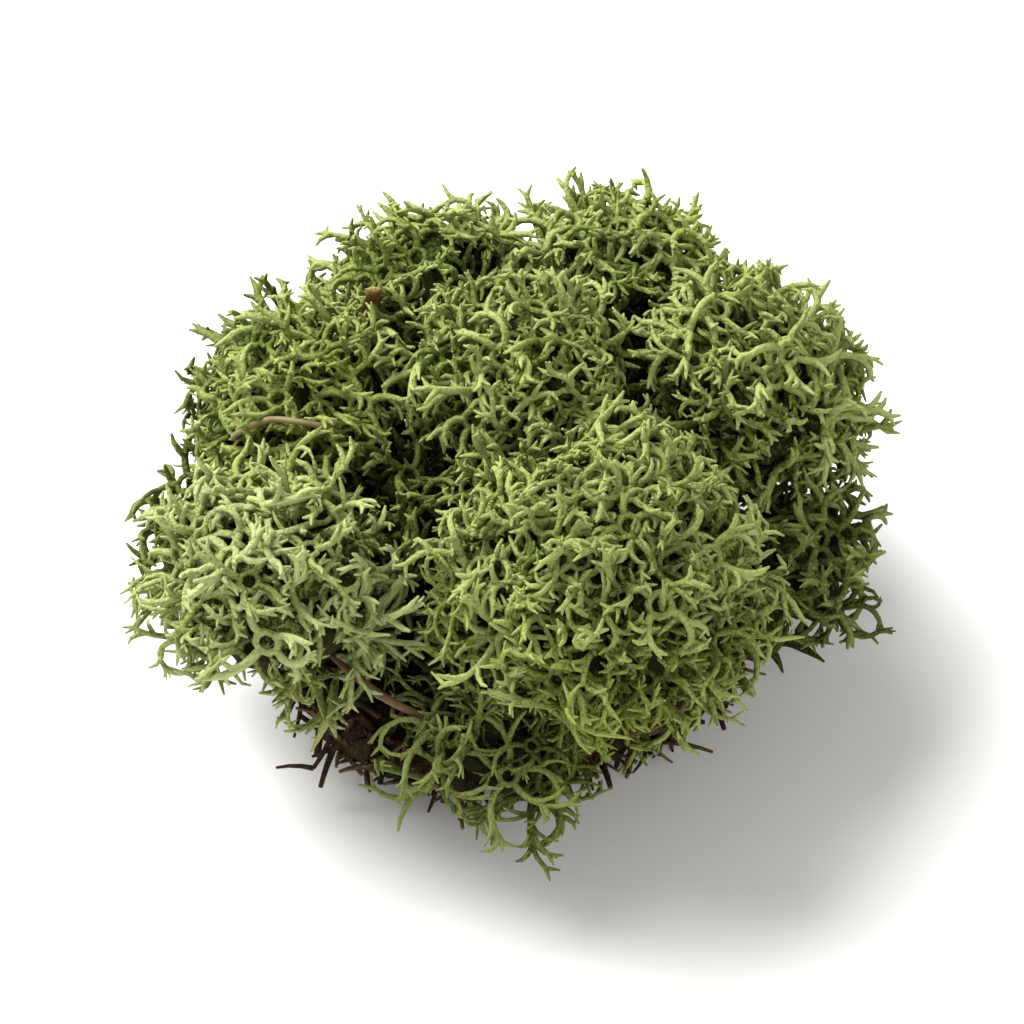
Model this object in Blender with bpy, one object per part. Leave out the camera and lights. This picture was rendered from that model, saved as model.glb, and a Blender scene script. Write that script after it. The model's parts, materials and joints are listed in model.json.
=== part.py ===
"""A clump of reindeer moss, as picked: heads of whorled branchlets on a mat of old stalks.

Sizes and places are in millimetres, and add_object turns them to Blender's metres.
+Z is up, and the origin is the centre of the flat spot on which the clump rests.
"""

import math
import random

import bmesh
import bpy
import numpy as np

METRES = 0.001
GAP = 0.3
SEED = 31

# Each head: its centre, the reach of its tips, the place of its stalk on the mat, and its colour.
HEADS = {
    "head_front_left": ((-20.5, -12, 25), 13.2, (-10, -7), "pale"),
    "head_front_broad": ((7, -13.5, 26.5), 17, (4, -8), "green"),
    "head_front_low": ((-1, -21.5, 14.5), 11.5, (-3, -14), "shaded"),
    "head_inner_cleft": ((-8, -5, 23.5), 12.5, (-4, -3.5), "shaded"),
    "head_left_crown": ((-17, 5, 27.5), 13.4, (-8.5, 2), "green"),
    "head_centre_crown": ((1, 3, 31), 14.2, (0.5, 1), "green"),
    "head_right": ((20, 7.5, 27.5), 14, (9.5, 3), "green"),
    "head_right_low": ((23, -2, 17.5), 11.8, (14.5, -4), "shaded"),
    "head_back_left": ((-6.5, 17, 28), 13.4, (-3.5, 8), "green"),
    "head_back_right": ((9, 19.5, 27.5), 13, (5, 9.5), "green"),
    "head_left_low": ((-24, 0, 17), 11.5, (-15, -1), "shaded"),
    "head_back_left_low": ((-18, 17, 18), 12.4, (-10.5, 9.5), "shaded"),
    "head_back_low": ((-0.5, 24.5, 17), 12, (0, 15), "shaded"),
    "head_back_right_low": ((18.5, 19.5, 18), 12.4, (11, 11), "shaded"),
}
HEAD_NAMES = list(HEADS)
CENTRES = np.array([HEADS[name][0] for name in HEAD_NAMES], float)
REACHES = np.array([HEADS[name][1] for name in HEAD_NAMES], float)
FEET = np.array([HEADS[name][2] for name in HEAD_NAMES], float)

# A head's surface is made of small cushions, with valleys between them.
CUSHION_PITCH = 10.0
VALLEY_DEPTH = 0.17

# The core that the branchlets stand out of.
CORE_DEPTH = 4.0
CORE_PITCH = 3.6
CORE_ROUGHNESS = 0.16
CLEFT_DEPTH = 2.2
LEAST_CORE = 0.35
MARCH_STEP = 0.2

# A sprig: a short stalk that opens into three or four tines.
SPRIG_PITCH = 7.2
SPRIG_SINK = 1.8
SPRIG_STALK = 1.2
STALK_RADIUS = 0.78
HUB_RADIUS = 0.85
TINE_RADIUS = 0.52
TINE_LENGTHS = (2.3, 2.0)
TINE_RISES = (28, 58)
SPRIG_SIZES = (1.0, 0.8, 0.62)
UPWARD_PULL = 0.18
STALK_SIDE = 0.55

# The stalk of a head, and the coarse limbs between it and the core.
NECK_RADII = (2.0, 1.6)
NECK_CLEAR = 0.7
NECK_STEPS = 6
NECK_SIDES = 6
LEAST_RISE = 3.0
LIMBS = 3
LIMB_RADIUS = 0.8

# The mat of old stalks: (height, radius) of each ring, from the flat spot up.
MAT_RINGS = ((0, 11), (2, 16), (4.8, 20.5), (7.5, 21), (9.85, 18.5))
MAT_SIDES = 11
MAT_LOBES = ((0.06, 2, 0.6), (0.05, 3, 2.1))
MAT_TOP = MAT_RINGS[-1][0]
MAT_RIM = 25
UNDERCUT = 0.8
LEAST_HEIGHT = 1.5
FOOT_LEVEL = MAT_TOP + GAP
STUBS = 66
STUB_RADIUS = 0.8

# Litter: the points that it runs through, its half width, its half thickness and its colour.
LITTER = {
    "needle_front_cleft": (((-17, -18, 22), (-11, -22, 19.5), (-4, -22.5, 15.5)), 0.5, 0.4, "rust"),
    "needle_front_right": (((5, -21, 14), (14, -21, 15.5), (17.5, -15.5, 21.5)), 0.5, 0.4, "rust"),
    "stem_left_crown": (
        ((-21.5, 2.2, 29.5), (-24.8, -1.5, 32), (-21.5, -3, 35.6), (-16.5, -4, 35.8), (-15.3, 0, 32.5)),
        0.4,
        0.4,
        "rust",
    ),
    "leaf_scrap_back_left": (((-12, 11, 24), (-12.5, 13, 31), (-12, 11, 38)), 1.5, 0.4, "rust"),
}
LITTER_STEPS = 8

# Colour, as linear red, green and blue, and roughness.
FINISHES = {
    "pale": ((0.25, 0.29, 0.10), 0.85),
    "green": ((0.13, 0.17, 0.045), 0.85),
    "shaded": ((0.07, 0.09, 0.025), 0.88),
    "old": ((0.045, 0.032, 0.016), 0.95),
    "rust": ((0.09, 0.035, 0.012), 0.75),
}
GOLDEN_ANGLE = math.pi * (3 - math.sqrt(5))


def clear_scene():
    for old in list(bpy.data.objects):
        bpy.data.objects.remove(old)


def make_material(name):
    colour, roughness = FINISHES[name]
    material = bpy.data.materials.new(name)
    material.use_nodes = True
    shader = material.node_tree.nodes["Principled BSDF"]
    shader.inputs["Base Color"].default_value = (*colour, 1)
    shader.inputs["Roughness"].default_value = roughness
    shader.inputs["Metallic"].default_value = 0
    return material


def unit(vector):
    return np.asarray(vector, float) / np.linalg.norm(vector)


def across(direction):
    """Two unit vectors at right angles to a direction and to each other."""
    helper = (1, 0, 0) if abs(direction[2]) > 0.8 else (0, 0, 1)
    side = unit(np.cross(helper, direction))
    return side, np.cross(direction, side)


def even_directions(count, turn):
    """Unit vectors spread evenly over a sphere by the golden angle, each turned by a rotation."""
    steps = np.arange(count)
    height = 1 - (2 * steps + 1) / count
    width = np.sqrt(1 - height**2)
    spiral = np.stack([width * np.cos(GOLDEN_ANGLE * steps), width * np.sin(GOLDEN_ANGLE * steps), height], 1)
    return spiral @ turn.T


def random_turn(rng):
    """A rotation whose axes are drawn at random."""
    first = unit([rng.gauss(0, 1) for _ in range(3)])
    side, other = across(first)
    angle = rng.uniform(0, 2 * math.pi)
    turned = math.cos(angle) * side + math.sin(angle) * other
    return np.stack([turned, np.cross(first, turned), first], 1)


def count_for(radius, pitch):
    """How many points a pitch apart cover a sphere."""
    return max(12, round(4 * math.pi * radius**2 / (0.866 * pitch**2)))


def swell(head, directions, cushions):
    """How far the tips of a head reach in each direction: full on a cushion and less in a valley."""
    nearest = (directions @ cushions.T).max(axis=1)
    half = CUSHION_PITCH / 2 / REACHES[head]
    depth = np.minimum((1 - nearest) / (1 - math.cos(half)), 1)
    return REACHES[head] * (1 - VALLEY_DEPTH * depth)


def bezier(start, out, arrive, end, steps):
    t = np.linspace(0, 1, steps)[:, None]
    return (1 - t) ** 3 * start + 3 * (1 - t) ** 2 * t * out + 3 * (1 - t) * t**2 * arrive + t**3 * end


def neck_line(head):
    """The middle of a head's stalk, upright on the mat and then bending to the head's centre."""
    foot = np.array([*FEET[head], FOOT_LEVEL])
    rise = np.array([0, 0, max((CENTRES[head][2] - FOOT_LEVEL) * 0.45, LEAST_RISE)])
    return bezier(foot, foot + rise, CENTRES[head] - rise * 0.6, CENTRES[head], NECK_STEPS)


def distance_to_line(points, line):
    """The distance from each point to the nearest stretch of a line."""
    nearest = np.full(len(points), np.inf)
    for start, end in zip(line, line[1:]):
        along = end - start
        t = np.clip((points - start) @ along / (along @ along), 0, 1)
        nearest = np.minimum(nearest, np.linalg.norm(points - start - t[:, None] * along, axis=1))
    return nearest


def is_clear(head, points):
    """Whether each point lies in the head's own share of the clump, clear of the mat and of other stalks."""
    flat = np.hypot(points[:, 0], points[:, 1])
    floor = FOOT_LEVEL - UNDERCUT * np.maximum(flat - MAT_RIM, 0)
    clear = points[:, 2] > np.maximum(floor, LEAST_HEIGHT)
    for other in range(len(HEADS)):
        if other == head:
            continue
        apart = CENTRES[other] - CENTRES[head]
        distance = np.linalg.norm(apart)
        border = (distance**2 + REACHES[head] ** 2 - REACHES[other] ** 2) / (2 * distance)
        clear &= (points - CENTRES[head]) @ apart / distance < border - GAP * 0.8
        clear &= distance_to_line(points, neck_line(other)) > NECK_RADII[0] + NECK_CLEAR
    return clear


def core_radii(head, directions, cushions):
    """How far the core goes in each direction: it stops short of the tips, and of the nearest neighbour."""
    room = np.full(len(directions), MARCH_STEP)
    going = np.ones(len(directions), bool)
    for radius in np.arange(MARCH_STEP, REACHES[head], MARCH_STEP):
        going &= is_clear(head, CENTRES[head] + directions * radius)
        room[going] = radius
    inner = np.maximum(room - CLEFT_DEPTH, np.minimum(room, REACHES[head] * LEAST_CORE))
    return np.minimum(inner, swell(head, directions, cushions) - CORE_DEPTH)


def core(head, cushions, rng):
    """A rough ball: the hull of even directions, with each corner at its own distance."""
    directions = even_directions(count_for(REACHES[head] - CORE_DEPTH, CORE_PITCH), random_turn(rng))
    mesh = bmesh.new()
    for direction in directions:
        mesh.verts.new(direction)
    bmesh.ops.convex_hull(mesh, input=mesh.verts)
    mesh.verts.index_update()
    faces = [[vertex.index for vertex in face.verts] for face in mesh.faces]
    mesh.free()
    rough = np.array([1 - CORE_ROUGHNESS * rng.random() for _ in directions])
    points = CENTRES[head] + directions * (rough * core_radii(head, directions, cushions))[:, None]
    return points, faces


def tube(line, widths, thicknesses, sides, flat_start=False):
    """A tube along a line, with its ends closed. A flat start is level, as where a stalk stands."""
    line = np.asarray(line, float)
    ahead = np.gradient(line, axis=0)
    if flat_start:
        ahead[0] = (0, 0, 1)
    points = []
    side = across(unit(ahead[0]))[0]
    for centre, direction, width, thickness in zip(line, ahead, widths, thicknesses):
        direction = unit(direction)
        side = unit(side - direction * (side @ direction))
        up = np.cross(direction, side)
        for corner in range(sides):
            angle = 2 * math.pi * corner / sides
            points.append(centre + side * width * math.cos(angle) + up * thickness * math.sin(angle))
    rings = len(line)
    faces = [list(range(sides))[::-1], list(range((rings - 1) * sides, rings * sides))]
    for ring in range(rings - 1):
        for corner in range(sides):
            low, high = ring * sides, (ring + 1) * sides
            beside = (corner + 1) % sides
            faces.append([low + corner, low + beside, high + beside, high + corner])
    return np.array(points), faces


def sprig(rng, tines):
    """A stalk along +Z that opens into curved tines. The stalk's own length starts at z = 0."""
    points = []
    turns = [2 * math.pi * k / tines + rng.uniform(-0.18, 0.18) for k in range(tines)]
    for height, radius in ((-SPRIG_SINK, STALK_RADIUS), (SPRIG_STALK, HUB_RADIUS)):
        points += [(radius * math.cos(turn), radius * math.sin(turn), height) for turn in turns]
    axil = len(points)
    points.append((0, 0, SPRIG_STALK))
    faces = [list(range(tines))[::-1]]
    for k in range(tines):
        beside = (k + 1) % tines
        faces.append([k, beside, tines + beside, tines + k])
        middle = (turns[k] + turns[beside] + (2 * math.pi if beside == 0 else 0)) / 2
        out = np.array([math.cos(middle), math.sin(middle), 0])
        across_tine = np.array([-out[1], out[0], 0])
        reach = [length * rng.uniform(0.8, 1.2) for length in TINE_LENGTHS]
        rises = [math.radians(rise + rng.uniform(-12, 12)) for rise in TINE_RISES]
        ways = [out * math.cos(rise) + np.array([0, 0, math.sin(rise)]) for rise in rises]
        bend = out * HUB_RADIUS * 0.3 + np.array([0, 0, SPRIG_STALK]) + ways[0] * reach[0]
        tip = bend + ways[1] * reach[1]
        above = np.cross(unit(ways[0] + ways[1]), across_tine)
        first = len(points)
        for angle in (-150, -30, 90):
            around = math.radians(angle)
            points.append(bend + TINE_RADIUS * (across_tine * math.cos(around) + above * math.sin(around)))
        points.append(tip)
        left, right, top, end = range(first, first + 4)
        faces.append([tines + k, tines + beside, right, left])
        faces.append([tines + beside, axil, top, right])
        faces.append([axil, tines + k, left, top])
        faces += [[left, right, end], [right, top, end], [top, left, end]]
    return np.array(points, float), faces


def sprigs(head, cushions, rng):
    """Sprigs all over a head, smaller where a neighbour is close, and none on its stalk's side."""
    directions = even_directions(count_for(REACHES[head] - 1, SPRIG_PITCH), random_turn(rng))
    to_stalk = unit(neck_line(head)[-2] - CENTRES[head])
    roots = core_radii(head, directions, cushions)
    for direction, root in zip(directions, roots):
        lean = [rng.uniform(-0.15, 0.15) for _ in range(3)]
        shape, faces = sprig(rng, rng.choice((3, 3, 3, 4)))
        turn = rng.uniform(0, 2 * math.pi)
        if direction @ to_stalk > STALK_SIDE:
            continue
        axis = unit(direction + np.array(lean) + np.array([0, 0, UPWARD_PULL]))
        side, other = across(axis)
        turned = math.cos(turn) * side + math.sin(turn) * other
        frame = np.stack([turned, np.cross(axis, turned), axis])
        for size in SPRIG_SIZES:
            points = CENTRES[head] + direction * root + shape * size @ frame
            if is_clear(head, points).all():
                yield points, faces
                break


def limbs(head, cushions, rng):
    """Coarse branches that leave the stalk and spread to the underside of the head."""
    line = neck_line(head)
    to_stalk = unit(line[-2] - CENTRES[head])
    side, other = across(to_stalk)
    turn = rng.uniform(0, 2 * math.pi)
    for k in range(LIMBS):
        angle = turn + 2 * math.pi * (k + rng.uniform(-0.15, 0.15)) / LIMBS
        spread = math.radians(rng.uniform(55, 72))
        way = math.cos(spread) * to_stalk + math.sin(spread) * (math.cos(angle) * side + math.sin(angle) * other)
        reach = core_radii(head, way[None], cushions)[0]
        start, end = line[1], CENTRES[head] + way * max(reach - 1.5, 0)
        path = bezier(start, start + (line[2] - line[1]), end + way * 4, end, 5)
        radii = np.linspace(LIMB_RADIUS * 1.25, LIMB_RADIUS, len(path))
        points, faces = tube(path, radii, radii, 4)
        if is_clear(head, points).all():
            yield points, faces


def neck(head):
    line = neck_line(head)
    radii = np.linspace(*NECK_RADII, len(line))
    points, faces = tube(line, radii, radii, NECK_SIDES, flat_start=True)
    points[NECK_SIDES:, 2] = np.maximum(points[NECK_SIDES:, 2], FOOT_LEVEL + GAP)
    return points, faces


def add_object(name, points, faces, collection=None):
    mesh = bpy.data.meshes.new(name)
    mesh.from_pydata([tuple(point) for point in np.asarray(points) * METRES], [], faces)
    body = bmesh.new()
    body.from_mesh(mesh)
    bmesh.ops.recalc_face_normals(body, faces=body.faces)
    body.to_mesh(mesh)
    body.free()
    thing = bpy.data.objects.new(name, mesh)
    (collection or bpy.context.scene.collection).objects.link(thing)
    return thing


def keep_largest(mesh):
    """Drops loose scraps and the walls of sealed hollows: all but the body with the most corners."""
    body = bmesh.new()
    body.from_mesh(mesh)
    left = set(body.verts)
    groups = []
    while left:
        group, edge = set(), [left.pop()]
        while edge:
            vertex = edge.pop()
            group.add(vertex)
            beside = {link.other_vert(vertex) for link in vertex.link_edges} & left
            left -= beside
            edge += beside
        groups.append(group)
    groups.sort(key=len)
    for group in groups[:-1]:
        bmesh.ops.delete(body, geom=list(group), context="VERTS")
    body.to_mesh(mesh)
    body.free()


def fused(name, shapes, cutters, material):
    """One closed body from closed shapes that run into each other, with holes for what pierces it."""
    group = bpy.data.collections.new(name)
    bpy.context.scene.collection.children.link(group)
    whole = add_object(name, *shapes[0])
    for shape in shapes[1:]:
        add_object("repeat", *shape, group)
    for operation, collection in (("UNION", group), ("DIFFERENCE", cutters)):
        if not collection:
            continue
        join = whole.modifiers.new(operation.lower(), "BOOLEAN")
        join.operation = operation
        join.operand_type = "COLLECTION"
        join.collection = collection
        join.solver = "MANIFOLD"
    graph = bpy.context.evaluated_depsgraph_get()
    mesh = bpy.data.meshes.new_from_object(whole.evaluated_get(graph))
    whole.modifiers.clear()
    whole.data = mesh
    for repeat in list(group.objects):
        bpy.data.objects.remove(repeat)
    bpy.data.collections.remove(group)
    keep_largest(mesh)
    mesh.materials.clear()
    mesh.materials.append(material)
    return whole


def smooth_line(points, steps):
    """A curve through the given points, with their neighbours setting its direction at each."""
    points = np.asarray(points, float)
    slopes = np.gradient(points, axis=0)
    line = []
    for k in range(len(points) - 1):
        start, end = points[k], points[k + 1]
        stretch = bezier(start, start + slopes[k] / 3, end - slopes[k + 1] / 3, end, steps // (len(points) - 1) + 2)
        line += list(stretch[:-1])
    return np.array(line + [points[-1]])


def litter_shape(name, extra=0.0):
    """A needle, stem or scrap, tapered to its ends. The extra makes the hole that it goes through."""
    points, half_width, half_thickness, _ = LITTER[name]
    line = smooth_line(points, LITTER_STEPS)
    taper = 0.45 + 0.55 * np.sin(np.linspace(0.12, math.pi - 0.12, len(line)))
    if extra:
        line[0] -= unit(line[1] - line[0]) * extra
        line[-1] += unit(line[-1] - line[-2]) * extra
    return tube(line, half_width * taper + extra, half_thickness * taper + extra, 5)


def mat(rng):
    """A low puck with uneven sides, level above and below."""
    points = []
    for height, radius in MAT_RINGS:
        for corner in range(MAT_SIDES):
            angle = 2 * math.pi * corner / MAT_SIDES
            lobes = sum(size * math.sin(count * angle + start) for size, count, start in MAT_LOBES)
            away = radius * (1 + lobes + rng.uniform(-0.05, 0.05))
            points.append((away * math.cos(angle), away * math.sin(angle), height))
    rings = len(MAT_RINGS)
    faces = [list(range(MAT_SIDES))[::-1], list(range((rings - 1) * MAT_SIDES, rings * MAT_SIDES))]
    for ring in range(rings - 1):
        for corner in range(MAT_SIDES):
            low, high = ring * MAT_SIDES, (ring + 1) * MAT_SIDES
            beside = (corner + 1) % MAT_SIDES
            faces.append([low + corner, low + beside, high + beside, high + corner])
    return np.array(points), faces


def stubs(rng):
    """Broken ends of old stalks round the mat, between its flat spot and its top."""
    for k in range(STUBS):
        angle = GOLDEN_ANGLE * k
        height = rng.uniform(1.1, MAT_TOP - 1.4)
        radius = np.interp(height, *zip(*MAT_RINGS))
        out = np.array([math.cos(angle), math.sin(angle), 0])
        sideways = np.array([-out[1], out[0], 0])
        root = out * (radius - 2.5) + np.array([0, 0, height])
        length = rng.uniform(4.6, 6.6)
        drift = rng.uniform(-2.5, 2.5)
        bend = root + out * length * 0.6 + sideways * drift * 0.3 + np.array([0, 0, rng.uniform(-0.8, 0.8)])
        tip = root + out * length + sideways * drift + np.array([0, 0, rng.uniform(-1.6, 1.6)])
        tip[2] = min(max(tip[2], 0.9), MAT_TOP - 1.1)
        widths = (STUB_RADIUS, STUB_RADIUS * 0.8, STUB_RADIUS * 0.45)
        yield tube((root, bend, tip), widths, widths, 3)


def main():
    clear_scene()
    materials = {name: make_material(name) for name in FINISHES}
    cutters = bpy.data.collections.new("litter_holes")
    bpy.context.scene.collection.children.link(cutters)
    for name in LITTER:
        add_object("hole", *litter_shape(name, GAP), cutters)
    for head, name in enumerate(HEAD_NAMES):
        rng = random.Random(SEED + head)
        cushions = even_directions(count_for(REACHES[head], CUSHION_PITCH), random_turn(rng))
        shapes = [core(head, cushions, rng), neck(head), *limbs(head, cushions, rng)]
        shapes += sprigs(head, cushions, rng)
        fused(name, shapes, cutters, materials[HEADS[name][3]])
    rng = random.Random(SEED)
    fused("old_stalk_mat", [mat(rng), *stubs(rng)], None, materials["old"])
    for name in LITTER:
        piece = add_object(name, *litter_shape(name))
        piece.data.materials.append(materials[LITTER[name][3]])
        piece.data.shade_smooth()
    for hole in list(cutters.objects):
        bpy.data.objects.remove(hole)
    bpy.data.collections.remove(cutters)


main()
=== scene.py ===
import json
import math
import random

import bmesh
import bpy
import numpy as np
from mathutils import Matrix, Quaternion, Vector

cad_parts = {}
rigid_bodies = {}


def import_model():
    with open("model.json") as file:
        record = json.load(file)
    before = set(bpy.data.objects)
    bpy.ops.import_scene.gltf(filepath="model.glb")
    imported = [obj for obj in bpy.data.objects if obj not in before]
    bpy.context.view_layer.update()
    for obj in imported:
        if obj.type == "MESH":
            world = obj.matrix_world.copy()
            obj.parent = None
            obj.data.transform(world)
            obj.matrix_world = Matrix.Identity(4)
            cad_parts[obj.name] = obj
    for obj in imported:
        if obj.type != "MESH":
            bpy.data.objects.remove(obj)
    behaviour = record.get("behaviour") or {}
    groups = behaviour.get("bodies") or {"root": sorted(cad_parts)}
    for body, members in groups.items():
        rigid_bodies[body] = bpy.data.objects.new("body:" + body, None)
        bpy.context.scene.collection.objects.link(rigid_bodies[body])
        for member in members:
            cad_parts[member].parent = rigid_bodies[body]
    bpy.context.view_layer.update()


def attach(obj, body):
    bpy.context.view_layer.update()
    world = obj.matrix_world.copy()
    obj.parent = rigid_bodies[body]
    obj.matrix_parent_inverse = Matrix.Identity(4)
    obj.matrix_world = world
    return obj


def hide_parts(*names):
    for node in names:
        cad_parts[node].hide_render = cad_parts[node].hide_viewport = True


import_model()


# The mat of old stalks. Under the heads, the plants' lower stalks have died, gone brown and felted together
# into a low mat, flattened where the clump rests, with broken ends sticking out round it. A reindeer moss
# plant is nothing but hollow stalks that fork again and again, so all of it is grown from runs of points.
MM = 0.001               # sizes are in millimetres up to the stage, and the frame is in metres
UP = Vector((0, 0, 1))
MAT_TOP = 9.85
MAT_RINGS = ((0.05, 10.5), (2, 15), (4.8, 19), (7.5, 19.5), (MAT_TOP - 1, 17))    # heights and radii
MAT_SIDES = 40
MAT_LOWEST = 0.03
STALK_SPACING = 1.5
DEAD_STALK_KINDS = 8
SPRIG_SIDES = 4          # a sprig is repeated hundreds of times, so its tubes are plain
STALK_SIDES = 5


def new_branchwork():
    """Stalks as runs of points in millimetres, each point with half its thickness and its freshness, which
    also carries painted shade.

    Freshness is -1 in the dead brown base, 0 in the dark inside of a head, and 1 at a live tip. The dark
    inside is partly painted shade, and the value is lowered further as painted shade in clefts, under a
    head's skirt and at a stem's end inside its ring.
    """
    return {"points": [], "runs": [], "thick": [], "fresh_and_shade": []}


def add_branchlet(work, path, thick, fresh_and_shade, closed=False):
    """Adds one branchlet, whose thickness and freshness with its painted shade pass evenly through the
    values given.
    """
    first = len(work["points"])
    last = first + len(path) - 1
    along = np.linspace(0, 1, len(path))
    work["points"] += [tuple(point) for point in path]
    work["runs"] += [(k, k + 1) for k in range(first, last)]
    if closed:
        work["runs"].append((last, first))
    work["thick"] += list(np.interp(along, np.linspace(0, 1, len(thick)), thick) * MM)
    work["fresh_and_shade"] += list(np.interp(along, np.linspace(0, 1, len(fresh_and_shade)), fresh_and_shade))


def new_object(name, mesh, attributes):
    """An object in the scene, whose mesh has these numbers at its points."""
    for label, numbers in attributes.items():
        mesh.attributes.new(label, "FLOAT", "POINT").data.foreach_set("value", numbers)
    piece = bpy.data.objects.new(name, mesh)
    bpy.context.scene.collection.objects.link(piece)
    return piece


def as_object(name, work):
    """An object whose mesh is the runs of a branchwork, in metres."""
    mesh = bpy.data.meshes.new(name)
    mesh.from_pydata([tuple(MM * c for c in point) for point in work["points"]], work["runs"], [])
    return new_object(name, mesh, {"thick": work["thick"], "fresh_and_shade": work["fresh_and_shade"]})


def curved(rng, start, way, length, lift, steps, bend):
    """The path of a branchlet that lifts or sags, and bends to one side by up to an angle in degrees."""
    path = [Vector(start)]
    way = Vector(way).normalized()
    axis = Vector((rng.uniform(-0.6, 0.6), rng.uniform(-0.6, 0.6), 1)).normalized()
    turn = Quaternion(axis, math.radians(rng.uniform(0.4, 1) * bend * rng.choice((-1, 1))) / steps)
    for _ in range(steps):
        path.append(path[-1] + way * (length / steps))
        way = ((turn @ way) + UP * (lift / steps)).normalized()
    return path, way


def spread_ways(rng, way, count, spread):
    """Ways that leave a fork evenly round the one that comes in, each at an angle in degrees to it."""
    side = way.orthogonal().normalized()
    other = way.cross(side)
    turn = rng.uniform(0, 2 * math.pi)
    ways = []
    for k in range(count):
        angle = turn + 2 * math.pi * (k + rng.uniform(-0.16, 0.16)) / count
        lean = math.radians(rng.uniform(*spread))
        out = side * math.cos(angle) + other * math.sin(angle)
        ways.append(way * math.cos(lean) + out * math.sin(lean))
    return ways


def linear(code):
    """An sRGB hex colour as linear red, green, blue and alpha."""
    parts = [int(code[k:k + 2], 16) / 255 for k in (0, 2, 4)]
    return (*(c / 12.92 if c <= 0.04045 else ((c + 0.055) / 1.055) ** 2.4 for c in parts), 1.0)


def add_node(tree, kind, inputs=None, stops=(), **settings):
    """Adds a node with its settings. An input takes a value or a socket to link, and a ramp its stops."""
    node = tree.nodes.new(kind)
    for name, value in settings.items():
        setattr(node, name, value)
    for key, value in (inputs or {}).items():
        if isinstance(value, bpy.types.NodeSocket):
            tree.links.new(value, node.inputs[key])
        else:
            node.inputs[key].default_value = value
    for k, (place, code) in enumerate(stops):
        element = node.color_ramp.elements[k] if k < 2 else node.color_ramp.elements.new(place)
        element.position = place
        element.color = linear(code)
    return node


def new_tree(name, sockets):
    """A Geometry Nodes tree with a geometry in and out, and its named inputs."""
    tree = bpy.data.node_groups.new(name, "GeometryNodeTree")
    tree.interface.new_socket("Geometry", in_out="INPUT", socket_type="NodeSocketGeometry")
    tree.interface.new_socket("Geometry", in_out="OUTPUT", socket_type="NodeSocketGeometry")
    for label, kind in sockets.items():
        tree.interface.new_socket(label, in_out="INPUT", socket_type="NodeSocket" + kind)
    return tree, tree.nodes.new("NodeGroupInput").outputs


def end_tree(tree, geometry, material):
    """Ends a tree in real, smooth-shaded geometry with its material."""
    real = add_node(tree, "GeometryNodeRealizeInstances", {"Geometry": geometry})
    smooth = add_node(tree, "GeometryNodeSetShadeSmooth", {"Geometry": real.outputs[0]})
    painted = {"Geometry": smooth.outputs[0], "Material": material}
    painted = add_node(tree, "GeometryNodeSetMaterial", painted)
    tree.links.new(painted.outputs[0], tree.nodes.new("NodeGroupOutput").inputs[0])


def tubes(tree, branchwork, sides):
    """Nodes that turn runs of edges to tubes with closed ends, as thick as their attribute says."""
    curves = add_node(tree, "GeometryNodeMeshToCurve", {"Mesh": branchwork}).outputs[0]
    ring = add_node(tree, "GeometryNodeCurvePrimitiveCircle", {"Resolution": sides, "Radius": 1.0})
    thick = add_node(tree, "GeometryNodeInputNamedAttribute", {"Name": "thick"}, data_type="FLOAT")
    wall = {"Curve": curves, "Profile Curve": ring.outputs[0], "Scale": thick.outputs[0], "Fill Caps": True}
    return add_node(tree, "GeometryNodeCurveToMesh", wall).outputs[0]


tube_tree, tube_in = new_tree("branchlet_tubes", {"Sides": "Int", "Material": "Material"})
end_tree(tube_tree, tubes(tube_tree, tube_in["Geometry"], tube_in["Sides"]), tube_in["Material"])


def grown(name, source, tree, values):
    """The plain mesh that a tree makes of an object, as a piece of its own. The object goes."""
    modifier = source.modifiers.new(tree.name, "NODES")
    modifier.node_group = tree
    for item in tree.interface.items_tree:
        if item.in_out == "INPUT" and item.name in values:
            modifier[item.identifier] = values[item.name]
    graph = bpy.context.evaluated_depsgraph_get()
    mesh = bpy.data.meshes.new_from_object(source.evaluated_get(graph))
    source.modifiers.remove(modifier)
    bpy.data.objects.remove(source)
    return new_object(name, mesh, {})


def variants(name, works, material):
    """A collection of branchworks turned to tubes, for a tree to pick from."""
    group = bpy.data.collections.new(name)
    bpy.context.scene.collection.children.link(group)
    values = {"Sides": SPRIG_SIDES, "Material": material}
    for k, work in enumerate(works):
        piece = grown(f"{name}_{k:02d}", as_object("run", work), tube_tree, values)
        bpy.context.scene.collection.objects.unlink(piece)
        group.objects.link(piece)
    return group


def remove_group(group):
    for piece in list(group.objects):
        bpy.data.objects.remove(piece)
    bpy.data.collections.remove(group)


DENSEST = 4e6        # points a square metre, more than the spacing ever lets through
SMALLEST = 0.86      # of the sprigs' sizes, beside the size they are made in
LARGEST = 1.12
MOST_PICKS = 99      # a pick past the last kind of sprig starts again at the first


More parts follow.
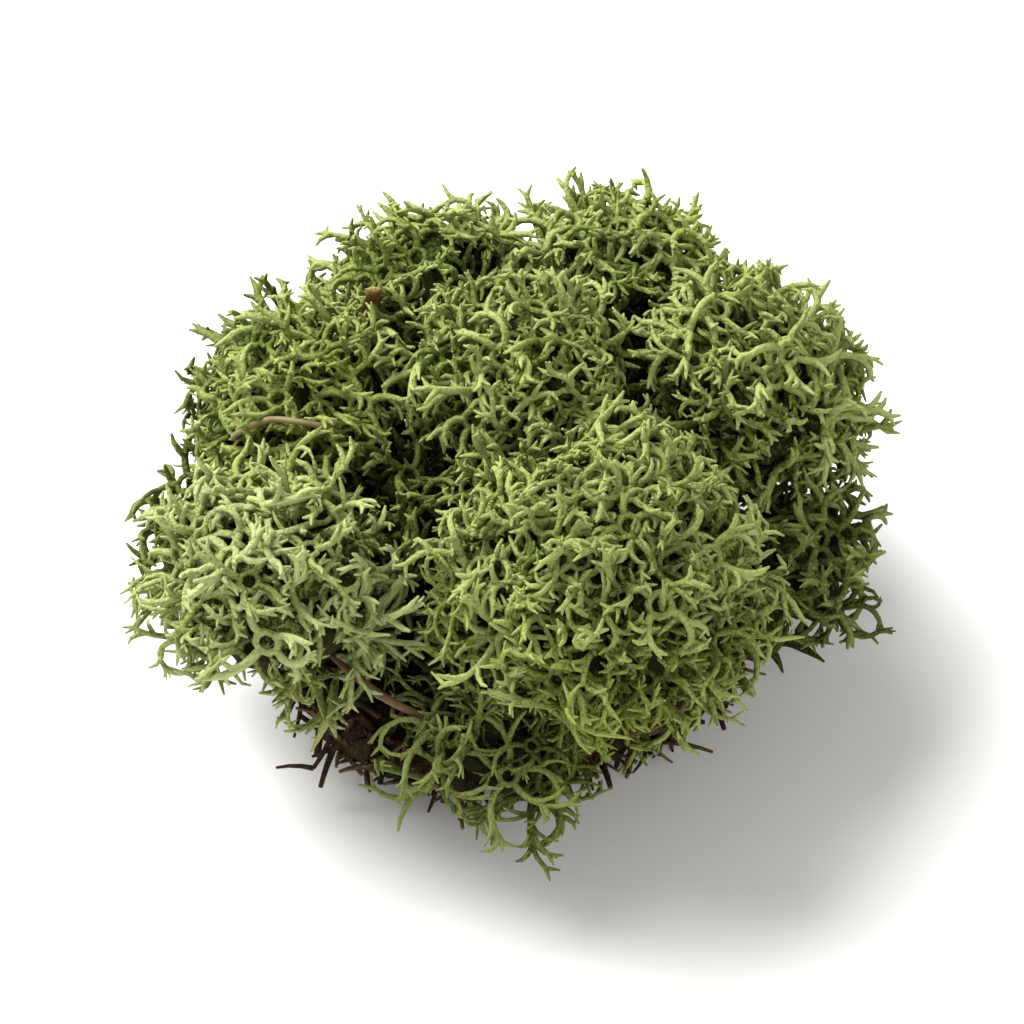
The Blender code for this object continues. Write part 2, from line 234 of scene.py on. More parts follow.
def scattered(tree, cover, sprigs, growth, pull):
    """Nodes that stand sprigs on a surface, as close as an attribute lets them grow, aimed to the light."""
    # A Random Value node takes its limits at 0 and 1 for a vector, 2 and 3 for a number, and 4 and 5 for a
    # whole number, and gives the three at 0, 1 and 2.
    seed = cover["Seed"]
    growth = add_node(tree, "GeometryNodeInputNamedAttribute", {"Name": growth}, data_type="FLOAT")
    points = {"Mesh": cover["Geometry"], "Distance Min": cover["Spacing"], "Density Max": DENSEST,
              "Density Factor": growth.outputs[0], "Seed": seed}
    points = add_node(tree, "GeometryNodeDistributePointsOnFaces", points, distribute_method="POISSON")
    pull = add_node(tree, "ShaderNodeCombineXYZ", {"Z": pull}).outputs[0]
    aim = add_node(tree, "ShaderNodeVectorMath", {0: points.outputs["Normal"], 1: pull}).outputs[0]
    stand = add_node(tree, "FunctionNodeAlignRotationToVector", {"Vector": aim}, axis="Z").outputs[0]
    back = add_node(tree, "ShaderNodeMath", {0: cover["Tilt"], 1: -1.0}, operation="MULTIPLY").outputs[0]
    least = add_node(tree, "ShaderNodeCombineXYZ", {"X": back, "Y": back, "Z": 0.0}).outputs[0]
    most = {"X": cover["Tilt"], "Y": cover["Tilt"], "Z": 2 * math.pi}
    most = add_node(tree, "ShaderNodeCombineXYZ", most).outputs[0]
    spin = {0: least, 1: most, "Seed": seed}
    spin = add_node(tree, "FunctionNodeRandomValue", spin, data_type="FLOAT_VECTOR").outputs[0]
    spin = add_node(tree, "FunctionNodeEulerToRotation", {"Euler": spin}).outputs[0]
    turned = {"Rotation": stand, "Rotate By": spin}
    turned = add_node(tree, "FunctionNodeRotateRotation", turned, rotation_space="LOCAL").outputs[0]
    size = {2: SMALLEST, 3: LARGEST, "Seed": seed}
    size = add_node(tree, "FunctionNodeRandomValue", size, data_type="FLOAT").outputs[1]
    room = add_node(tree, "GeometryNodeInputNamedAttribute", {"Name": "room"}, data_type="FLOAT")
    size = {0: size, 1: room.outputs[0]}
    size = add_node(tree, "ShaderNodeMath", size, operation="MULTIPLY").outputs[0]
    kinds = {"Collection": sprigs, "Separate Children": True, "Reset Children": True}
    kinds = add_node(tree, "GeometryNodeCollectionInfo", kinds).outputs[0]
    which = {4: 0, 5: MOST_PICKS, "Seed": seed}
    which = add_node(tree, "FunctionNodeRandomValue", which, data_type="INT").outputs[2]
    copies = {"Points": points.outputs["Points"], "Instance": kinds, "Pick Instance": True,
              "Instance Index": which, "Rotation": turned, "Scale": size}
    copies = add_node(tree, "GeometryNodeInstanceOnPoints", copies).outputs[0]
    tone = {2: -1.0, 3: 1.0, "Seed": seed}
    tone = add_node(tree, "FunctionNodeRandomValue", tone, data_type="FLOAT").outputs[1]
    toned = {"Geometry": copies, "Name": "tone", "Value": tone}
    return add_node(
        tree, "GeometryNodeStoreNamedAttribute", toned, data_type="FLOAT", domain="INSTANCE"
    ).outputs[0]


cover_tree, cover = new_tree("cover_with_branchlets", {
    "Sprigs": "Collection", "Open Sprigs": "Collection", "Stalks": "Object", "Spacing": "Float",
    "Tilt": "Float", "Pull": "Float", "Open Pull": "Float", "Sides": "Int", "Seed": "Int",
    "Material": "Material",
})
stalks = add_node(cover_tree, "GeometryNodeObjectInfo", {"Object": cover["Stalks"]}).outputs["Geometry"]
joined = add_node(cover_tree, "GeometryNodeJoinGeometry")
for geometry in (
    tubes(cover_tree, stalks, cover["Sides"]),
    scattered(cover_tree, cover, cover["Sprigs"], "growth", cover["Pull"]),
    scattered(cover_tree, cover, cover["Open Sprigs"], "open_growth", cover["Open Pull"]),
    cover["Geometry"],
):
    cover_tree.links.new(geometry, joined.inputs[0])
end_tree(cover_tree, joined.outputs[0], cover["Material"])


def finish_piece(piece, node):
    """Says what a piece stands for: it replaces its node and rides with the clump."""
    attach(piece, "root")
    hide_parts(node)


# A lichen stalk has no skin. Its surface is a matt felt of fibres about 0.1 mm wide, too fine to show, so
# they are drawn three times as coarse. Dye takes on it in blotches, and age tints it in wide patches.
FELT = 0.32
BLOTCH = 7.0
PATCH = 22.0
FELT_DEPTH = 0.4
MOST_TINT = 0.32


def felted_lichen(name, colours, tint):
    """Lichen coloured by its freshness and painted shade, with cloudy dye, a tint in patches, and a felted
    surface.
    """
    material = bpy.data.materials.new(name)
    material.use_nodes = True
    tree = material.node_tree
    shader = tree.nodes["Principled BSDF"]
    place = add_node(tree, "ShaderNodeTexCoord").outputs["Object"]
    noises = []
    for size, detail in ((FELT, 2.0), (BLOTCH, 2.0), (PATCH, 1.0)):
        noise = {"Vector": place, "Scale": 1 / (size * MM), "Detail": detail}
        noises.append(add_node(tree, "ShaderNodeTexNoise", noise).outputs[0])
    felt, blotch, patch = noises
    fresh_and_shade, tone, painted_shade = (
        add_node(tree, "ShaderNodeAttribute", attribute_name=label).outputs["Fac"]
        for label in ("fresh_and_shade", "tone", "painted_shade")
    )
    # The shade runs from dark to pale. Fresh growth is paler, each sprig has its tone, and painted shade
    # darkens clefts, valleys and the undersides of heads.
    shade = 0.0
    for value, gain in ((fresh_and_shade, 0.5), (tone, 0.13), (painted_shade, -0.34), (blotch, 0.36), (felt, 0.60)):
        shade = {0: value, 1: gain, 2: shade}
        shade = add_node(tree, "ShaderNodeMath", shade, operation="MULTIPLY_ADD").outputs[0]
    colour = add_node(tree, "ShaderNodeValToRGB", {"Fac": shade}, stops=colours).outputs["Color"]
    tinted = {"Value": patch, "From Min": 0.48, "From Max": 0.72, "To Max": MOST_TINT}
    tinted = add_node(tree, "ShaderNodeMapRange", tinted).outputs[0]
    # A colour Mix takes its factor at 0 and its colours at 6 and 7, and gives its result at 2.
    mix = {0: tinted, 6: colour, 7: linear(tint)}
    mix = add_node(tree, "ShaderNodeMix", mix, data_type="RGBA", blend_type="SOFT_LIGHT").outputs[2]
    tree.links.new(mix, shader.inputs["Base Color"])
    bump = {"Height": felt, "Strength": 0.7, "Distance": FELT_DEPTH * MM}
    tree.links.new(add_node(tree, "ShaderNodeBump", bump).outputs[0], shader.inputs["Normal"])
    shader.inputs["Roughness"].default_value = 0.85
    shader.inputs["Specular IOR Level"].default_value = 0.08
    return material


def mat_body(rng):
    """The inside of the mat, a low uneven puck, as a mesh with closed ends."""
    mesh = bpy.data.meshes.new("mat_body")
    body = bmesh.new()
    rings = []
    for height, radius in MAT_RINGS:
        ring = []
        for k in range(MAT_SIDES):
            angle = 2 * math.pi * k / MAT_SIDES
            lobes = 0.06 * math.sin(2 * angle + 0.6) + 0.05 * math.sin(3 * angle + 2.1)
            away = radius * (1 + lobes + rng.uniform(-0.03, 0.03)) * MM
            ring.append(body.verts.new((away * math.cos(angle), away * math.sin(angle), height * MM)))
        rings.append(ring)
    for low, high in zip(rings, rings[1:]):
        for k in range(MAT_SIDES):
            after = (k + 1) % MAT_SIDES
            body.faces.new((low[k], low[after], high[after], high[k]))
    body.faces.new(reversed(rings[0]))
    body.faces.new(rings[-1])
    bmesh.ops.triangulate(body, faces=body.faces)
    bmesh.ops.recalc_face_normals(body, faces=body.faces)
    body.to_mesh(mesh)
    body.free()
    count = len(mesh.vertices)
    return new_object("mat_body", mesh, {
        "fresh_and_shade": [-0.75] * count, "growth": [1.0] * count, "room": [1.0] * count,
    })


def dead_stalk(rng):
    """A length of dead stalk that lies nearly flat on the mat, bent, with up to three side twigs."""
    work = new_branchwork()
    angle = rng.uniform(0, 2 * math.pi)
    out = Vector((math.cos(angle), math.sin(angle), rng.uniform(-0.05, 0.2)))
    path, way = curved(rng, -out * 3.0, out, rng.uniform(5, 8), rng.uniform(-0.3, 0.5), 5, 70)
    add_branchlet(work, path, (0.3, 0.38, 0.25), (-0.95, -0.5))
    for _ in range(rng.randint(1, 3)):
        start = path[rng.randint(2, 5)]
        side_way = spread_ways(rng, way, 1, (35, 60))[0]
        twig, _ = curved(rng, start, side_way, rng.uniform(2, 4), 0.3, 3, 70)
        add_branchlet(work, twig, (0.28, 0.14), (-0.7, -0.3))
    return work


# Dead stalks: the same felt, with no dye left, umber where it is damp and packed and tan at dry ends.
old_stalks = felted_lichen(
    "dead_brown_stalks", ((0.0, "241b12"), (0.2, "3a2d1e"), (0.4, "6b583b"), (0.7, "8f8258")), "7d5a34"
)
rng = random.Random(5)
dead_group = variants("dead_stalk", [dead_stalk(rng) for _ in range(DEAD_STALK_KINDS)], old_stalks)
no_stalks = as_object("no_stalks", new_branchwork())
# The mat's points have no open_growth, so nothing grows from its second group.
mat_piece = grown("mat_of_old_stalks", mat_body(rng), cover_tree, {
    "Sprigs": dead_group, "Open Sprigs": dead_group, "Stalks": no_stalks, "Spacing": STALK_SPACING * MM,
    "Tilt": 0.35, "Pull": 0.0, "Open Pull": 0.0, "Sides": STALK_SIDES, "Seed": 3, "Material": old_stalks,
})
remove_group(dead_group)
bpy.data.objects.remove(no_stalks)
# The clump's weight presses flat what would reach below the floor.
for vertex in mat_piece.data.vertices:
    vertex.co.z = max(vertex.co.z, MAT_LOWEST * MM)
finish_piece(mat_piece, "old_stalk_mat")


# The heads. Each is one plant's crown: stalks from the mat fork into whorls, and the whorls close up into a
# cushion of star-tipped branchlets round a dark inside, partly painted shade. Where two heads meet there is
# a narrow cleft, darkened with painted shade, and below a head's skirt the light gives out, also painted as
# shade, and only long arching branchlets grow.
HEADS = {        # each head's centre, its reach, where its stalks leave the mat, and its habit
    "head_front_left": ((-20.5, -12, 25), 13.2, (-10, -7), "pale"),
    "head_front_broad": ((7, -13.5, 26.5), 17, (4, -8), "green"),
    "head_front_low": ((-1, -21.5, 14.5), 11.5, (-3, -14), "open"),
    "head_inner_cleft": ((-8, -5, 23.5), 12.5, (-4, -3.5), "deep"),
    "head_left_crown": ((-17, 5, 27.5), 13.4, (-8.5, 2), "green"),
    "head_centre_crown": ((1, 3, 31), 14.2, (0.5, 1), "green"),
    "head_right": ((20, 7.5, 27.5), 14, (9.5, 3), "green"),
    "head_right_low": ((23, -2, 17.5), 11.8, (14.5, -4), "deep"),
    "head_back_left": ((-6.5, 17, 28), 13.4, (-3.5, 8), "green"),
    "head_back_right": ((9, 19.5, 27.5), 13, (5, 9.5), "green"),
    "head_left_low": ((-24, 0, 17), 11.5, (-15, -1), "deep"),
    "head_back_left_low": ((-18, 17, 18), 12.4, (-10.5, 9.5), "deep"),
    "head_back_low": ((-0.5, 24.5, 17), 12, (0, 15), "deep"),
    "head_back_right_low": ((18.5, 19.5, 18), 12.4, (11, 11), "deep"),
}
CENTRES = np.array([row[0] for row in HEADS.values()], float)
REACHES = np.array([row[1] for row in HEADS.values()], float)
FEET = np.array([row[2] for row in HEADS.values()], float)
SKIRTS = {"head_front_broad": 0.25, "head_front_left": 0.05}     # how high up each starts, in reaches
COMMON_SKIRT = -0.1
CUSHION_PITCH = 10.0
CUSHION_AREA = 0.866 * CUSHION_PITCH**2      # of each cushion when they sit like a honeycomb
FEWEST_CUSHIONS = 12
VALLEY_DEPTH = 0.24      # of a head's reach
CLEFT_DEPTH = 4.6        # from the border between two heads down to their domes
CRUMB = 0.4
DOME_POINT_AREA = 1.5    # square millimetres of a dome to each of its points
MAT_REACH = 25.0
FLOOR_GAP = 1.5
STALKS = 11
GOLDEN_ANGLE = math.pi * (3 - math.sqrt(5))
FIRST_HEAD_SEED = 31


def unit(vector):
    return np.asarray(vector, float) / np.linalg.norm(vector)


def across(direction):
    """Two unit vectors at right angles to a direction and to each other."""
    helper = (1, 0, 0) if abs(direction[2]) > 0.8 else (0, 0, 1)
    side = unit(np.cross(helper, direction))
    return side, np.cross(direction, side)


def even_directions(count, turn):
    """Unit vectors spread evenly over a sphere by the golden angle, each turned by a rotation."""
    steps = np.arange(count)
    height = 1 - (2 * steps + 1) / count
    width = np.sqrt(1 - height**2)
    angle = GOLDEN_ANGLE * steps
    return np.stack([width * np.cos(angle), width * np.sin(angle), height], 1) @ turn.T


def random_turn(rng):
    """A rotation picked evenly from all that there are, as a matrix."""
    first = unit([rng.gauss(0, 1) for _ in range(3)])
    side, other = across(first)
    angle = rng.uniform(0, 2 * math.pi)
    turned = math.cos(angle) * side + math.sin(angle) * other
    return np.stack([turned, np.cross(first, turned), first], 1)


def valley(head, directions, cushions):
    """How deep in a valley between the head's cushions each direction lies, from 0 on a crest to 1."""
    nearest = (directions @ cushions.T).max(axis=1)
    half = CUSHION_PITCH / 2 / REACHES[head]
    return np.minimum((1 - nearest) / (1 - math.cos(half)), 1)


def room_towards(head, directions):
    """How far a head may go in each direction before it meets a neighbour, the mat or the floor."""
    room = np.full(len(directions), float(REACHES[head]))
    # Two heads meet in the plane through the circle where their spheres cross.
    for other in range(len(HEADS)):
        if other != head:
            apart = CENTRES[other] - CENTRES[head]
            distance = np.linalg.norm(apart)
            border = (distance**2 + REACHES[head] ** 2 - REACHES[other] ** 2) / (2 * distance)
            toward = directions @ apart / distance
            room = np.where(toward > 0, np.minimum(room, border / np.maximum(toward, 1e-6)), room)
    down = np.maximum(-directions[:, 2], 1e-6)
    to_mat = (CENTRES[head][2] - MAT_TOP) / down
    to_floor = (CENTRES[head][2] - FLOOR_GAP) / down
    where = np.hypot(*(CENTRES[head] + directions * to_mat[:, None]).T[:2])
    return np.minimum(room, np.where(where < MAT_REACH, to_mat, to_floor))


def dome(head, cushions, to_stalk, height, inside, skirt):
    """The crumbly inside of a head, which its sprigs grow out of, with how well they grow at each place."""
    reach = REACHES[head]
    directions = even_directions(round(4 * math.pi * reach**2 / DOME_POINT_AREA), np.eye(3))
    hollow = valley(head, directions, cushions)
    room = room_towards(head, directions)
    radius = np.minimum(reach * (1 - VALLEY_DEPTH * hollow) - height, room - CLEFT_DEPTH)
    radius = np.maximum(radius, np.minimum(room * 0.8, reach * 0.3))
    mesh = bpy.data.meshes.new("dome")
    body = bmesh.new()
    for direction in directions:
        body.verts.new(direction)
    bmesh.ops.convex_hull(body, input=body.verts)
    bmesh.ops.recalc_face_normals(body, faces=body.faces)
    crumbs = np.random.default_rng(head).uniform(-CRUMB, CRUMB, len(directions))
    for vertex, direction, away in zip(body.verts, directions, radius + crumbs):
        vertex.co = (CENTRES[head] + direction * away) * MM
    body.to_mesh(mesh)
    body.free()
    # Growth stops at the stalks, thins out in a cleft, and turns to the open kind under the skirt.
    cleft = np.clip((0.94 * reach - room) / (0.25 * reach), 0, 1)
    under = np.clip((skirt - directions[:, 2]) / 0.4, 0, 1)
    near_stalk = directions @ to_stalk
    return new_object("dome", mesh, {
        "growth": np.clip((0.80 - near_stalk) / 0.25, 0, 1) * (1 - np.maximum(0.2 * cleft, 0.85 * under)),
        "open_growth": np.clip((0.95 - near_stalk) / 0.1, 0, 1) * 0.6 * under,
        "room": np.clip((room - radius) / (height + 0.8), 0.6, 1.0) * (1 - 0.2 * hollow**2),
        # In clefts, valleys and under the skirt the next two values darken the colour as painted shade.
        "fresh_and_shade": inside - 0.5 * np.maximum(under, cleft),
        "painted_shade": np.maximum(np.maximum(cleft, 0.5 * under), 0.75 * hollow**2),
    })


def bezier(start, out, arrive, end, steps):
    """Points on a curve that leaves its start towards one handle and reaches its end from the other."""
    t = np.linspace(0, 1, steps)[:, None]
    return (1 - t) ** 3 * start + 3 * (1 - t) ** 2 * t * out + 3 * (1 - t) * t**2 * arrive + t**3 * end


def stalk_work(head, rng, height):
    """Stalks that rise together from the head's foot on the mat and part to the underside of its dome."""
    work = new_branchwork()
    centre = CENTRES[head]
    foot = np.array([*FEET[head], MAT_TOP - 1.5])
    rise = np.array([0, 0, max((centre[2] - MAT_TOP) * 0.45, 3.0)])
    to_stalk = unit(foot + rise - centre)
    side, other = across(to_stalk)
    for k in range(STALKS):
        angle = GOLDEN_ANGLE * k
        outward = math.sqrt((k + 0.5) / STALKS)
        spread = math.radians(18 + 62 * outward)
        sideways = math.cos(angle) * side + math.sin(angle) * other
        way = math.cos(spread) * to_stalk + math.sin(spread) * sideways
        end = centre + way * min(room_towards(head, way[None])[0] - 1.0, REACHES[head] - height)
        start = foot + 2.0 * outward * np.array([math.cos(angle), math.sin(angle), 0])
        bow = np.array([rng.uniform(-1, 1) for _ in range(3)])
        path = bezier(start, start + rise + bow, end + way * 3.5 + bow, end, 8)
        thick = rng.uniform(0.5, 0.72)
        add_branchlet(work, path, (thick, thick * 0.8), (-0.55, -0.1, 0.12))
        for place in (4, 5, 6):
            along = Vector(path[place + 1] - path[place]).normalized()
            twig_way = spread_ways(rng, along, 1, (35, 60))[0]
            twig, _ = curved(rng, path[place], twig_way, rng.uniform(2.5, 4.5), 0.35, 4, 70)
            add_branchlet(work, twig, (thick * 0.75, thick * 0.6, thick * 0.15), (-0.1, 0.3))
    return work, to_stalk


def sprig(rng, rise, arm, thick, bend):
    """A stalk that opens in a ring round a hole, dark with painted shade, and the forked arms that arch
    away from it.
    """
    work = new_branchwork()
    stem = [(0, 0, -0.6), (0, 0, rise / 2), (0, 0, rise - thick * 1.5)]
    # The stem's top end, seen through the ring, is darkened as painted shade, so the ring reads as a hole.
    add_branchlet(work, stem, (thick, thick * 1.7), (-0.1, 0, -0.4))
    ring = thick * 2.5
    circle = [(ring * math.cos(a), ring * math.sin(a), rise) for a in (math.pi / 4 * k for k in range(8))]
    add_branchlet(work, circle, (thick * 0.85, thick * 0.85), (0.55, 0.55), closed=True)
    count = rng.choice((4, 5, 5))
    turn = rng.uniform(0, 2 * math.pi)
    for k in range(count):
        angle = turn + 2 * math.pi * (k + rng.uniform(-0.18, 0.18)) / count
        out = Vector((math.cos(angle), math.sin(angle), 0))
        lean = math.radians(rng.uniform(5, 42))
        way = out * math.cos(lean) + UP * math.sin(lean)
        length = rng.uniform(*arm)
        path, way = curved(rng, out * ring + UP * rise, way, length, rng.uniform(-1.2, -0.4), 5, bend)
        add_branchlet(work, path, (thick, thick * 0.9, thick * 0.75), (0.5, 0.7, 0.95))
        for place, share in ((2, 0.6), (rng.choice((3, 4)), 0.45)):
            along = (path[place] - path[place - 1]).normalized()
            side_way = spread_ways(rng, along, 1, (25, 50))[0]
            sag = rng.uniform(-0.6, 0.2)
            side, end_way = curved(rng, path[place], side_way, length * share, sag, 3, bend * 0.9)
            add_branchlet(work, side, (thick * 0.85, thick * 0.75, thick * 0.3), (0.6, 0.95))
            if rng.random() < 0.45:
                tip_way = spread_ways(rng, end_way, 1, (35, 60))[0]
                tip, _ = curved(rng, side[2], tip_way, length * 0.22, 0.1, 1, 0)
                add_branchlet(work, tip, (thick * 0.6, thick * 0.22), (0.85, 1.0))
        for tip_way in spread_ways(rng, way, 2, (25, 45)):
            tip, _ = curved(rng, path[-1], tip_way, length * rng.uniform(0.2, 0.3), 0.1, 1, 0)
            add_branchlet(work, tip, (thick * 0.74, thick * 0.25), (0.95, 1.0))
    return work


# Live lichen, dyed green: brown-black inside, olive where it forks and pale at the tips, where the dye is
# thinnest; the darkening towards the inside is partly painted shade. The front left head has taken the
# least dye. The low heads and the head in the inner cleft get a darker copy of the green, which is painted
# shade.
YELLOW_TINT = "b8ac48"
PALE_COLOURS = ((0.10, "2c2519"), (0.40, "2b330e"), (0.62, "7a8646"), (0.92, "a3ac72"))
GREEN_COLOURS = ((0.10, "2b2318"), (0.40, "20280a"), (0.64, "626f2f"), (0.92, "949f5d"))
SHADED_COLOURS = ((0.10, "282015"), (0.40, "171c07"), (0.66, "4a5422"), (0.95, "778146"))
pale_lichen = felted_lichen("pale_dyed_lichen", PALE_COLOURS, YELLOW_TINT)
green_lichen = felted_lichen("green_dyed_lichen", GREEN_COLOURS, YELLOW_TINT)
shaded_lichen = felted_lichen("lichen_with_painted_shade", SHADED_COLOURS, YELLOW_TINT)

# Every other sprig sits low on its dome, and the rest stand up on a longer stem.
rng = random.Random(11)
fine = [sprig(rng, rise, (2.9, 4.5), 0.39, 150) for rise in (0.2, 1.0) * 9]
coarse = [sprig(rng, rise, (3.5, 5.2), 0.43, 140) for rise in (0.2, 1.2) * 6]
arched = [sprig(rng, rise, (4.2, 6.2), 0.33, 150) for rise in (0.8, 2.4) * 5]
fine_group = variants("fine_sprig", fine, green_lichen)
coarse_group = variants("coarse_sprig", fine[:4] + coarse, green_lichen)
arched_group = variants("arched_sprig", arched, green_lichen)

# Each habit has its material, slot, sprigs, their spacing, their height over the dome and its freshness.
# The deep habit's material is darkened as painted shade, and the open habit's lower freshness is painted
# shade too.
HABITS = {
    "pale": (pale_lichen, "lichen_pale", coarse_group, 2.75, 3.7, 0.0),
    "green": (green_lichen, "lichen_green", fine_group, 2.3, 3.3, 0.0),
    "deep": (shaded_lichen, "lichen_shaded", coarse_group, 2.8, 3.8, 0.0),
    "open": (shaded_lichen, "lichen_shaded", arched_group, 2.5, 5.2, -0.2),
}
for head, (node, row) in enumerate(HEADS.items()):
    material, slot, group, spacing, height, inside = HABITS[row[3]]
    rng = random.Random(FIRST_HEAD_SEED + head)
    count = round(4 * math.pi * REACHES[head] ** 2 / CUSHION_AREA)
    cushions = even_directions(max(FEWEST_CUSHIONS, count), random_turn(rng))
    work, to_stalk = stalk_work(head, rng, height)
    stalk_object = as_object("stalks", work)
    base = dome(head, cushions, to_stalk, height, inside, SKIRTS.get(node, COMMON_SKIRT))
    piece = grown(node.replace("head", "branchlets"), base, cover_tree, {
        "Sprigs": group, "Open Sprigs": arched_group, "Stalks": stalk_object, "Spacing": spacing * MM,
        "Tilt": 0.25, "Pull": 0.2, "Open Pull": 0.75, "Sides": STALK_SIDES, "Seed": head,
        "Material": material,
    })
    bpy.data.objects.remove(stalk_object)
    finish_piece(piece, node)
for group in (fine_group, coarse_group, arched_group):
    remove_group(group)


# Forest litter. Conifer needles and a thin stem, dry and brown, lie on the heads or are caught between
# them, and a scrap of dead leaf stands in the cleft at the back left. Nothing holds them but the lichen.
NEEDLES = {
    "needle_front_cleft": ((-17, -18, 22), (-11, -22, 19.5), (-4, -22.5, 15.5)),
    "needle_front_right": ((5, -21, 14), (14, -21, 15.5), (17.5, -15.5, 21.5)),
}
NEEDLE_HALF_THICK = 0.4
STEM = ((-21.5, 2.2, 29.5), (-24.8, -1.5, 32), (-21.5, -3, 35.6), (-16.5, -4, 35.8), (-15.3, 0, 32.5))
STEM_HALF_THICK = 0.31
LEAF = ((-12, 11, 24), (-12.5, 13, 31), (-12, 11, 38))
LEAF_HALF_WIDTH = 1.5
LEAF_HALF_THICK = 0.12
LEAF_COLUMNS = 9
LITTER_SIDES = 8
MOTTLE = 1.6
WRINKLE = 0.4
WRINKLE_DEPTH = 0.06


def smooth_path(points, steps):
    """A smooth curve through a few points, which leaves each along its neighbours' direction."""
    points = np.array(points, float)
    slopes = np.gradient(points, axis=0)
    outs = points + slopes / 3
    arrivals = points - slopes / 3
    spans = [
        bezier(points[k], outs[k], arrivals[k + 1], points[k + 1], steps + 1)[:-1]
        for k in range(len(points) - 1)
    ]
    return np.vstack([*spans, points[-1:]])


def dry_litter(name, colours):
    """Dead needle, stem or leaf: brown, mottled, dark where its freshness is low, with a faint waxy shine.
    """
    material = bpy.data.materials.new(name)
    material.use_nodes = True
    tree = material.node_tree
    shader = tree.nodes["Principled BSDF"]
    place = add_node(tree, "ShaderNodeTexCoord").outputs["Object"]
    noises = []
    for size, detail in ((MOTTLE, 3.0), (WRINKLE, 2.0)):
        noise = {"Vector": place, "Scale": 1 / (size * MM), "Detail": detail}
        noises.append(add_node(tree, "ShaderNodeTexNoise", noise).outputs[0])
    mottle, wrinkle = noises
    shade = add_node(tree, "ShaderNodeAttribute", attribute_name="fresh_and_shade").outputs["Fac"]
    shade = add_node(tree, "ShaderNodeMath", {0: shade, 1: mottle}).outputs[0]
    shade = add_node(tree, "ShaderNodeMath", {0: shade, 1: 0.5}, operation="MULTIPLY").outputs[0]
    colour = add_node(tree, "ShaderNodeValToRGB", {"Fac": shade}, stops=colours).outputs["Color"]
    tree.links.new(colour, shader.inputs["Base Color"])
    bump = {"Height": wrinkle, "Strength": 0.3, "Distance": WRINKLE_DEPTH * MM}
    tree.links.new(add_node(tree, "ShaderNodeBump", bump).outputs[0], shader.inputs["Normal"])
    shader.inputs["Roughness"].default_value = 0.55
    shader.inputs["Specular IOR Level"].default_value = 0.35
    return material


def add_litter(node, points, thick, material):
    """A needle or a stem along a few points, thin and dark at both its ends, as a finished piece."""
    work = new_branchwork()
    taper = (thick * 0.3, thick, thick, thick * 0.85, thick * 0.25)
    add_branchlet(work, smooth_path(points, 8), taper, (0.1, 0.7, 0.8, 0.7, 0.2))
    values = {"Sides": LITTER_SIDES, "Material": material}
    piece = grown("dry_" + node, as_object("litter", work), tube_tree, values)
    finish_piece(piece, node)


dry_needle = dry_litter("dry_needle", ((0.15, "22160a"), (0.5, "4a351a"), (0.85, "755a30")))
dry_stem = dry_litter("dry_stem", ((0.15, "2c200e"), (0.5, "5f522c"), (0.85, "8b8150")))
dry_leaf = dry_litter("dry_leaf", ((0.15, "33200f"), (0.5, "6f4d2b"), (0.85, "a07a4b")))
for node, points in NEEDLES.items():
    add_litter(node, points, NEEDLE_HALF_THICK, dry_needle)
add_litter("stem_left_crown", STEM, STEM_HALF_THICK, dry_stem)


def leaf_scrap(path):
    """A torn scrap of leaf along a path: a thin closed blade, cupped, twisted and ragged at its edge."""
    rng = random.Random(2)
    mesh = bpy.data.meshes.new("leaf_scrap")
    body = bmesh.new()
    front, back = [], []
    for row, point in enumerate(path):
        share = row / (len(path) - 1)
        twist = math.radians(100 - 70 * share)
        side = Vector((math.cos(twist), math.sin(twist), 0))
        face = Vector((-math.sin(twist), math.cos(twist), 0))
        width = LEAF_HALF_WIDTH * math.sin(math.pi * (0.12 + 0.80 * share)) ** 0.6
        edges = [width * rng.uniform(0.82, 1.08) for _ in range(2)]
        for sheet, turn in ((front, 1), (back, -1)):
            line = []
            for column in range(LEAF_COLUMNS):
                over = 2 * column / (LEAF_COLUMNS - 1) - 1
                reach = edges[over > 0] * over
                cup = 0.5 * over**2 + 0.12 * abs(over) * math.sin(9 * share)
                thick = LEAF_HALF_THICK * (1 - 0.8 * over**2)
                at = Vector(point) + side * reach + face * (cup + turn * thick)
                line.append(body.verts.new(at * MM))
            sheet.append(line)
    for row in range(len(path) - 1):
        for low, high in ((front[row], front[row + 1]), (back[row], back[row + 1])):
            for k in range(LEAF_COLUMNS - 1):
                body.faces.new((low[k], low[k + 1], high[k + 1], high[k]))
        for k in (0, LEAF_COLUMNS - 1):
            body.faces.new((front[row][k], front[row + 1][k], back[row + 1][k], back[row][k]))
    for row in (0, len(path) - 1):
        for k in range(LEAF_COLUMNS - 1):
            body.faces.new((front[row][k], front[row][k + 1], back[row][k + 1], back[row][k]))
    bmesh.ops.recalc_face_normals(body, faces=body.faces)
    for face in body.faces:
        face.smooth = True
    body.to_mesh(mesh)
    body.free()
    mesh.materials.append(dry_leaf)
    return new_object("dry_leaf_scrap", mesh, {"fresh_and_shade": [0.5] * len(mesh.vertices)})


finish_piece(leaf_scrap(smooth_path(LEAF, 8)), "leaf_scrap_back_left")


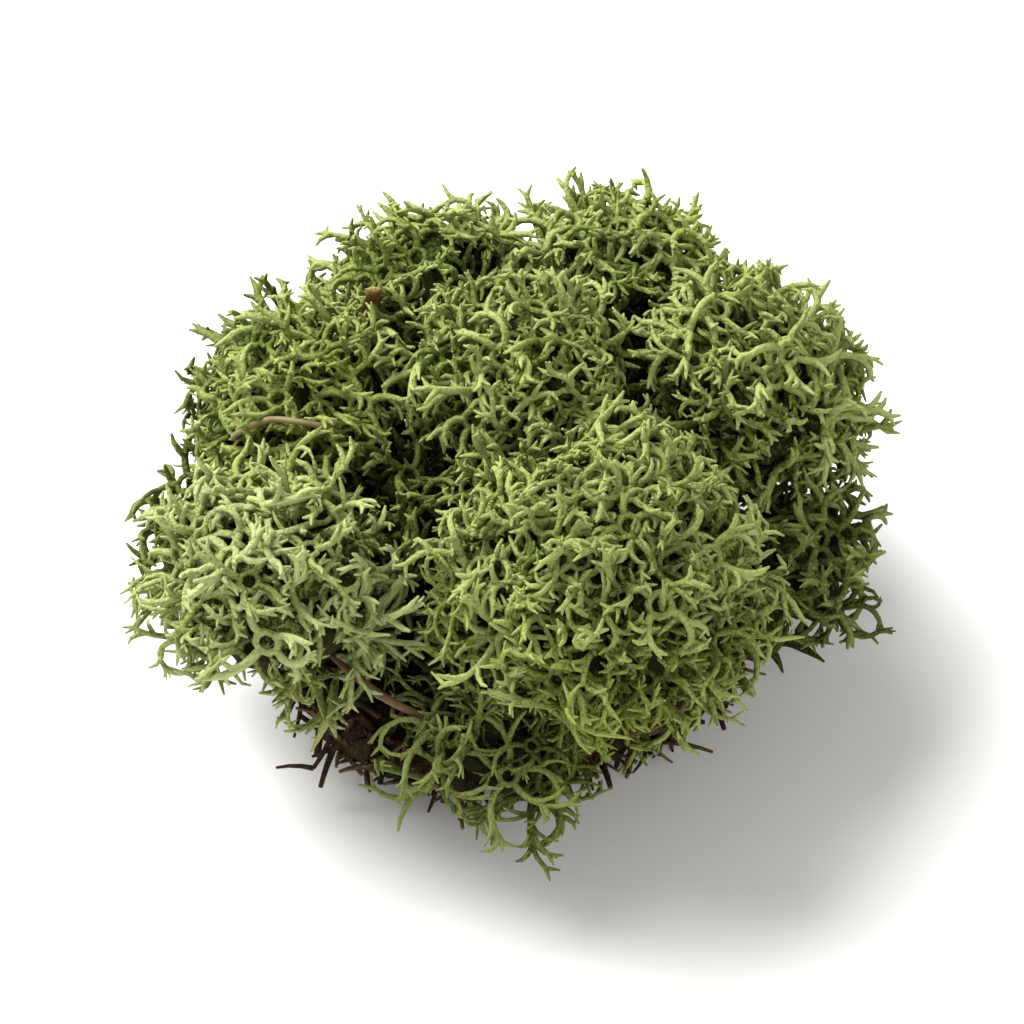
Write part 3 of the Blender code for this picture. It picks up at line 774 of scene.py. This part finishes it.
# The stage: a plain pale floor, one broad soft light above and behind, a weaker one in front, and the
# camera looking down at 45 degrees through a long lens, as from about a metre away. Sizes are in metres.
AIM = Vector((0, 0, 0.021))
FLOOR_HALF = 2
# Each light's place, the side of its square, and its watts.
LIGHTS = {
    "key_light": ((-0.42, 0.30, 0.64), 0.7, 18),
    "fill_light": ((0.45, -0.7, 0.45), 0.8, 4),
}
SKY = 0.46
ELEVATION = math.radians(45)
DISTANCE = 1.1
FRAME_WIDTH = 0.092

floor_corners = [(x * FLOOR_HALF, y * FLOOR_HALF, 0) for x, y in ((-1, -1), (1, -1), (1, 1), (-1, 1))]
floor_mesh = bpy.data.meshes.new("floor")
floor_mesh.from_pydata(floor_corners, [], [(0, 1, 2, 3)])
floor_paint = bpy.data.materials.new("pale_floor")
floor_paint.use_nodes = True
floor_shader = floor_paint.node_tree.nodes["Principled BSDF"]
floor_shader.inputs["Base Color"].default_value = linear("f2f1ee")
floor_shader.inputs["Roughness"].default_value = 0.9
floor_mesh.materials.append(floor_paint)
floor = new_object("floor", floor_mesh, {})

for name, (place, side, watts) in LIGHTS.items():
    lamp = bpy.data.lights.new(name, "AREA")
    lamp.size = side
    lamp.energy = watts
    light = bpy.data.objects.new(name, lamp)
    light.location = place
    light.rotation_euler = (AIM - Vector(place)).to_track_quat("-Z", "Y").to_euler()
    bpy.context.scene.collection.objects.link(light)
world = bpy.data.worlds.new("studio")
world.use_nodes = True
world.node_tree.nodes["Background"].inputs["Color"].default_value = (1, 1, 1, 1)
world.node_tree.nodes["Background"].inputs["Strength"].default_value = SKY
bpy.context.scene.world = world
bpy.context.scene.view_settings.view_transform = "Standard"

lens = bpy.data.cameras.new("camera")
lens.lens = lens.sensor_width * DISTANCE / FRAME_WIDTH
camera = bpy.data.objects.new("camera", lens)
camera.location = AIM + Vector((0, -math.cos(ELEVATION), math.sin(ELEVATION))) * DISTANCE
camera.rotation_euler = (AIM - camera.location).to_track_quat("-Z", "Y").to_euler()
bpy.context.scene.collection.objects.link(camera)
bpy.context.scene.camera = camera
